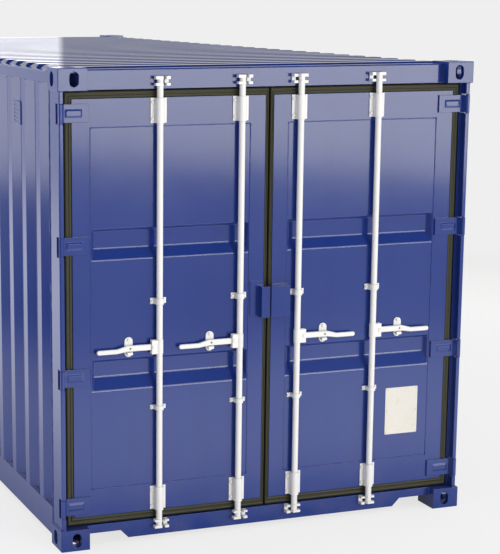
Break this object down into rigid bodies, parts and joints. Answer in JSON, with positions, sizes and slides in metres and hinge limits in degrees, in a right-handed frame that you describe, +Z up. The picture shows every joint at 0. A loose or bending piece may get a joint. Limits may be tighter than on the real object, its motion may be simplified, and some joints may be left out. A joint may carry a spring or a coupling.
{
  "type": "storage container",
  "caption": "Steel storage container with corrugated walls and a pair of gasketed doors, held by lock rods with cams and lifting handles.",
  "frame": {"origin": "on the ground under the middle of the container", "axes": "+Z up, +Y along the length from the door end to the closed end, +X to the right of someone facing the doors"},
  "size_m": [2.438, 6.058, 2.591],
  "materials": {
    "body_paint": "semi-gloss blue paint",
    "gear_paint": "off-white paint",
    "gasket_rubber": "matt olive-black",
    "floor_wood": "sealed plywood",
    "underframe_coat": "black underbody coat"
  },
  "bodies": {
    "container": {"casting_bottom_door_end_left": "body_paint", "casting_bottom_door_end_right": "body_paint", "casting_bottom_closed_end_left": "body_paint", "casting_bottom_closed_end_right": "body_paint", "casting_top_door_end_left": "body_paint", "casting_top_door_end_right": "body_paint", "casting_top_closed_end_left": "body_paint", "casting_top_closed_end_right": "body_paint", "door_post_left": "body_paint", "closed_end_post_left": "body_paint", "top_side_rail_left": "body_paint", "bottom_side_rail_left": "body_paint", "side_wall_left": "body_paint", "door_post_right": "body_paint", "closed_end_post_right": "body_paint", "top_side_rail_right": "body_paint", "bottom_side_rail_right": "body_paint", "side_wall_right": "body_paint", "door_header": "body_paint", "door_sill": "body_paint", "threshold_plate": "body_paint", "closed_end_top_rail": "body_paint", "closed_end_sill": "body_paint", "closed_end_wall": "body_paint", "roof": "body_paint", "roof_end_plates": "body_paint", "ventilators": "body_paint", "floor_boards": "floor_wood", "cross_members": "underframe_coat", "rod_keepers": "gear_paint"},
    "left_door": {"door_frame_left": "body_paint", "door_panel_left": "body_paint", "door_gasket_left": "gasket_rubber", "door_hinges_left": "body_paint", "rod_brackets_left": "gear_paint", "handle_catches_left": "gear_paint", "lock_box_left": "body_paint"},
    "left_inner_rod": {"lock_rod_inner_left": "gear_paint"},
    "left_inner_handle": {"handle_inner_left": "gear_paint"},
    "left_outer_rod": {"lock_rod_outer_left": "gear_paint"},
    "left_outer_handle": {"handle_outer_left": "gear_paint"},
    "right_door": {"door_frame_right": "body_paint", "door_panel_right": "body_paint", "door_gasket_right": "gasket_rubber", "door_hinges_right": "body_paint", "rod_brackets_right": "gear_paint", "handle_catches_right": "gear_paint", "lock_box_right": "body_paint"},
    "right_inner_rod": {"lock_rod_inner_right": "gear_paint"},
    "right_inner_handle": {"handle_inner_right": "gear_paint"},
    "right_outer_rod": {"lock_rod_outer_right": "gear_paint"},
    "right_outer_handle": {"handle_outer_right": "gear_paint"}
  },
  "joints": [
    {"name": "left_door_swing", "type": "hinge", "parent": "container", "child": "left_door", "pos_m": [-1.199, -3.007, 1.295], "axis": [0, 0, -1], "range_deg": [0, 260]},
    {"name": "left_inner_rod_turn", "type": "hinge", "parent": "left_door", "child": "left_inner_rod", "pos_m": [-0.174, -2.996, 1.092], "axis": [0, 0, -1], "range_deg": [-100, 0]},
    {"name": "left_inner_handle_lift", "type": "hinge", "parent": "left_inner_rod", "child": "left_inner_handle", "pos_m": [-0.212, -2.996, 1.092], "axis": [0, 1, 0], "range_deg": [0, 25]},
    {"name": "left_outer_rod_turn", "type": "hinge", "parent": "left_door", "child": "left_outer_rod", "pos_m": [-0.645, -2.996, 1.092], "axis": [0, 0, -1], "range_deg": [-100, 0]},
    {"name": "left_outer_handle_lift", "type": "hinge", "parent": "left_outer_rod", "child": "left_outer_handle", "pos_m": [-0.683, -2.996, 1.092], "axis": [0, 1, 0], "range_deg": [0, 25]},
    {"name": "right_door_swing", "type": "hinge", "parent": "container", "child": "right_door", "pos_m": [1.199, -3.007, 1.295], "axis": [0, 0, 1], "range_deg": [0, 260]},
    {"name": "right_inner_rod_turn", "type": "hinge", "parent": "right_door", "child": "right_inner_rod", "pos_m": [0.174, -2.996, 1.092], "axis": [0, 0, 1], "range_deg": [-100, 0]},
    {"name": "right_inner_handle_lift", "type": "hinge", "parent": "right_inner_rod", "child": "right_inner_handle", "pos_m": [0.212, -2.996, 1.092], "axis": [0, -1, 0], "range_deg": [0, 25]},
    {"name": "right_outer_rod_turn", "type": "hinge", "parent": "right_door", "child": "right_outer_rod", "pos_m": [0.645, -2.996, 1.092], "axis": [0, 0, 1], "range_deg": [-100, 0]},
    {"name": "right_outer_handle_lift", "type": "hinge", "parent": "right_outer_rod", "child": "right_outer_handle", "pos_m": [0.683, -2.996, 1.092], "axis": [0, -1, 0], "range_deg": [0, 25]}
  ]
}
